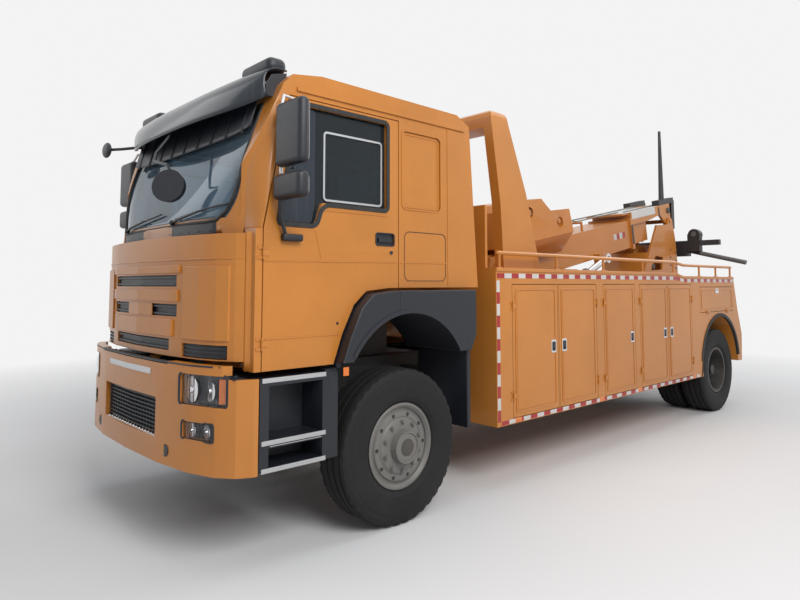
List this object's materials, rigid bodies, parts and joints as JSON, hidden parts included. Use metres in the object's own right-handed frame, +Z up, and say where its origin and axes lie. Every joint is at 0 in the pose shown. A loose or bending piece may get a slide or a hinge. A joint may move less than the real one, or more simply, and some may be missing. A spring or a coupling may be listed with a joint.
{
  "type": "recovery truck",
  "caption": "Cab-over recovery truck with side lockers, a telescopic winch boom and a folded tow arm with crossbar.",
  "frame": {"origin": "centre of the bounding box at ground level", "axes": "+Z up, -Y the driving direction, +X the truck's left side"},
  "size_m": [2.98, 8.56, 4.0693],
  "materials": {
    "orange_paint": "gloss",
    "black_paint": "satin",
    "black_plastic": "matte",
    "smoked_plastic": "gloss",
    "cast_steel": "rough",
    "wheel_steel": "satin",
    "tyre_rubber": "matte",
    "tinted_glass": "clear",
    "lamp_glass": "clear",
    "seat_cloth": "woven",
    "cylinder_paint": "satin",
    "chrome_rod": "polished"
  },
  "bodies": {
    "chassis": {"chassis_frame": "black_paint", "engine": "cast_steel", "front_axle": "black_paint", "rear_axle": "black_paint", "air_tanks": "black_paint", "bumper": "orange_paint", "headlamps": "lamp_glass", "wheel_arches": "black_plastic", "cab_steps": "black_plastic", "side_locker_left": "orange_paint", "side_locker_right": "orange_paint", "deck": "orange_paint", "gantry": "orange_paint", "boom_pedestal": "orange_paint"},
    "cab": {"cab_shell": "orange_paint", "windscreen": "tinted_glass", "sun_visor": "smoked_plastic", "seats": "seat_cloth", "dashboard": "black_plastic"},
    "flap": {"front_flap": "orange_paint"},
    "cab_door_left": {"cab_door_left": "orange_paint", "door_glass_left": "tinted_glass", "mirrors_left": "black_plastic"},
    "knuckle_left": {"steering_knuckle_left": "cast_steel"},
    "front_wheel_left": {"front_tyre_left": "tyre_rubber", "front_wheel_left": "wheel_steel"},
    "rear_wheels_left": {"rear_tyres_left": "tyre_rubber", "rear_wheels_left": "wheel_steel"},
    "locker_door_left_1": {"locker_door_left_1": "orange_paint"},
    "locker_door_left_2": {"locker_door_left_2": "orange_paint"},
    "locker_door_left_3": {"locker_door_left_3": "orange_paint"},
    "locker_door_left_4": {"locker_door_left_4": "orange_paint"},
    "locker_door_left_5": {"locker_door_left_5": "orange_paint"},
    "drop_hatch_left": {"drop_hatch_left": "orange_paint"},
    "cab_door_right": {"cab_door_right": "orange_paint", "door_glass_right": "tinted_glass", "mirrors_right": "black_plastic"},
    "knuckle_right": {"steering_knuckle_right": "cast_steel"},
    "front_wheel_right": {"front_tyre_right": "tyre_rubber", "front_wheel_right": "wheel_steel"},
    "rear_wheels_right": {"rear_tyres_right": "tyre_rubber", "rear_wheels_right": "wheel_steel"},
    "locker_door_right_1": {"locker_door_right_1": "orange_paint"},
    "locker_door_right_2": {"locker_door_right_2": "orange_paint"},
    "locker_door_right_3": {"locker_door_right_3": "orange_paint"},
    "locker_door_right_4": {"locker_door_right_4": "orange_paint"},
    "locker_door_right_5": {"locker_door_right_5": "orange_paint"},
    "drop_hatch_right": {"drop_hatch_right": "orange_paint"},
    "boom": {"boom_base": "orange_paint"},
    "boom_extension": {"boom_extension": "orange_paint", "hook_block": "black_paint"},
    "lift_barrels": {"lift_cylinder_barrels": "cylinder_paint"},
    "lift_rods": {"lift_cylinder_rods": "chrome_rod"},
    "mast": {"mast_column": "orange_paint"},
    "carriage": {"mast_carriage": "black_paint"},
    "tilt_rod": {"tilt_cylinder_rod": "chrome_rod"},
    "tow_arm": {"tow_arm": "black_paint"},
    "tow_arm_slide": {"tow_arm_slide": "black_paint"},
    "crossbar": {"crossbar": "black_paint"}
  },
  "joints": [
    {"name": "steer_left", "type": "hinge", "parent": "chassis", "child": "knuckle_left", "pos_m": [0.85, -2.78, 0.5425], "axis": [0, 0, 1], "range_deg": [-35, 35]},
    {"name": "steer_right", "type": "hinge", "parent": "chassis", "child": "knuckle_right", "pos_m": [-0.85, -2.78, 0.5425], "axis": [0, 0, 1], "range_deg": [-35, 35]},
    {"name": "front_wheel_left_roll", "type": "hinge", "parent": "knuckle_left", "child": "front_wheel_left", "pos_m": [1.06, -2.78, 0.5425], "axis": [1, 0, 0], "continuous": true},
    {"name": "rear_wheels_left_roll", "type": "hinge", "parent": "chassis", "child": "rear_wheels_left", "pos_m": [1.046, 3.05, 0.5425], "axis": [1, 0, 0], "continuous": true},
    {"name": "front_wheel_right_roll", "type": "hinge", "parent": "knuckle_right", "child": "front_wheel_right", "pos_m": [-1.06, -2.78, 0.5425], "axis": [1, 0, 0], "continuous": true},
    {"name": "rear_wheels_right_roll", "type": "hinge", "parent": "chassis", "child": "rear_wheels_right", "pos_m": [-1.046, 3.05, 0.5425], "axis": [1, 0, 0], "continuous": true},
    {"name": "cab_tilt", "type": "hinge", "parent": "chassis", "child": "cab", "pos_m": [0, -4.16, 0.86], "axis": [1, 0, 0], "range_deg": [0, 45]},
    {"name": "flap_lift", "type": "hinge", "parent": "cab", "child": "flap", "pos_m": [0, -4.115, 1.984], "axis": [-1, 0, 0], "range_deg": [0, 75]},
    {"name": "cab_door_left_swing", "type": "hinge", "parent": "cab", "child": "cab_door_left", "pos_m": [1.1695, -3.9085, 1.6], "axis": [0, 0, -1], "range_deg": [0, 65]},
    {"name": "cab_door_right_swing", "type": "hinge", "parent": "cab", "child": "cab_door_right", "pos_m": [-1.1695, -3.9085, 1.6], "axis": [0, 0, 1], "range_deg": [0, 65]},
    {"name": "locker_door_left_1_swing", "type": "hinge", "parent": "chassis", "child": "locker_door_left_1", "pos_m": [1.2555, -1.548, 1.1275], "axis": [0, 0, -1], "range_deg": [0, 90]},
    {"name": "locker_door_left_2_swing", "type": "hinge", "parent": "chassis", "child": "locker_door_left_2", "pos_m": [1.2555, -0.169, 1.1275], "axis": [0, 0, 1], "range_deg": [0, 90]},
    {"name": "locker_door_left_3_swing", "type": "hinge", "parent": "chassis", "child": "locker_door_left_3", "pos_m": [1.2555, -0.029, 1.1275], "axis": [0, 0, -1], "range_deg": [0, 90]},
    {"name": "locker_door_left_4_swing", "type": "hinge", "parent": "chassis", "child": "locker_door_left_4", "pos_m": [1.2555, 0.756, 1.1275], "axis": [0, 0, -1], "range_deg": [0, 90]},
    {"name": "locker_door_left_5_swing", "type": "hinge", "parent": "chassis", "child": "locker_door_left_5", "pos_m": [1.2555, 2.123, 1.1275], "axis": [0, 0, 1], "range_deg": [0, 90]},
    {"name": "drop_hatch_left_swing", "type": "hinge", "parent": "chassis", "child": "drop_hatch_left", "pos_m": [1.2555, 2.955, 1.327], "axis": [0, 1, 0], "range_deg": [0, 90]},
    {"name": "locker_door_right_1_swing", "type": "hinge", "parent": "chassis", "child": "locker_door_right_1", "pos_m": [-1.2555, -1.548, 1.1275], "axis": [0, 0, 1], "range_deg": [0, 90]},
    {"name": "locker_door_right_2_swing", "type": "hinge", "parent": "chassis", "child": "locker_door_right_2", "pos_m": [-1.2555, -0.169, 1.1275], "axis": [0, 0, -1], "range_deg": [0, 90]},
    {"name": "locker_door_right_3_swing", "type": "hinge", "parent": "chassis", "child": "locker_door_right_3", "pos_m": [-1.2555, -0.029, 1.1275], "axis": [0, 0, 1], "range_deg": [0, 90]},
    {"name": "locker_door_right_4_swing", "type": "hinge", "parent": "chassis", "child": "locker_door_right_4", "pos_m": [-1.2555, 0.756, 1.1275], "axis": [0, 0, 1], "range_deg": [0, 90]},
    {"name": "locker_door_right_5_swing", "type": "hinge", "parent": "chassis", "child": "locker_door_right_5", "pos_m": [-1.2555, 2.123, 1.1275], "axis": [0, 0, -1], "range_deg": [0, 90]},
    {"name": "drop_hatch_right_swing", "type": "hinge", "parent": "chassis", "child": "drop_hatch_right", "pos_m": [-1.2555, 2.955, 1.327], "axis": [0, -1, 0], "range_deg": [0, 90]},
    {"name": "boom_lift", "type": "hinge", "parent": "chassis", "child": "boom", "pos_m": [0, -0.63, 1.88], "axis": [1, 0, 0], "range_deg": [0, 40]},
    {"name": "boom_extend", "type": "slide", "parent": "boom", "child": "boom_extension", "axis": [0, 0.9823, 0.1874], "range_m": [0, 1.4]},
    {"name": "lift_barrel_swing", "type": "hinge", "parent": "chassis", "child": "lift_barrels", "pos_m": [0, -0.03, 1.35], "axis": [1, 0, 0], "range_deg": [0, 41.58]},
    {"name": "lift_rod_slide", "type": "slide", "parent": "lift_barrels", "child": "lift_rods", "axis": [0, 0.9184, 0.3956], "range_m": [0, 0.552]},
    {"name": "mast_swing", "type": "hinge", "parent": "boom_extension", "child": "mast", "pos_m": [0, 3.69, 2.66], "axis": [1, 0, 0], "range_deg": [0, 15]},
    {"name": "tilt_rod_slide", "type": "slide", "parent": "mast", "child": "tilt_rod", "axis": [0, 0.4167, 0.9091], "range_m": [0, 0.072]},
    {"name": "carriage_drop", "type": "slide", "parent": "mast", "child": "carriage", "axis": [0, 0, -1], "range_m": [0, 0.95]},
    {"name": "tow_arm_fold", "type": "hinge", "parent": "carriage", "child": "tow_arm", "pos_m": [0, 3.98, 1.5], "axis": [-1, 0, 0], "range_deg": [0, 92]},
    {"name": "tow_arm_extend", "type": "slide", "parent": "tow_arm", "child": "tow_arm_slide", "axis": [0, 0, 1], "range_m": [0, 0.5]},
    {"name": "crossbar_swing", "type": "hinge", "parent": "tow_arm_slide", "child": "crossbar", "pos_m": [0, 4.28, 2.25], "axis": [0, 1, 0], "range_deg": [-22, 22]}
  ],
  "couplings": [
    {"joint": "steer_right", "follows": "steer_left", "ratio": 1},
    {"joint": "lift_barrel_swing", "follows": "boom_lift", "ratio": 1.0319},
    {"joint": "lift_rod_slide", "follows": "boom_lift", "m_per_rad": 0.78192},
    {"joint": "tilt_rod_slide", "follows": "mast_swing", "m_per_rad": 0.26251}
  ]
}
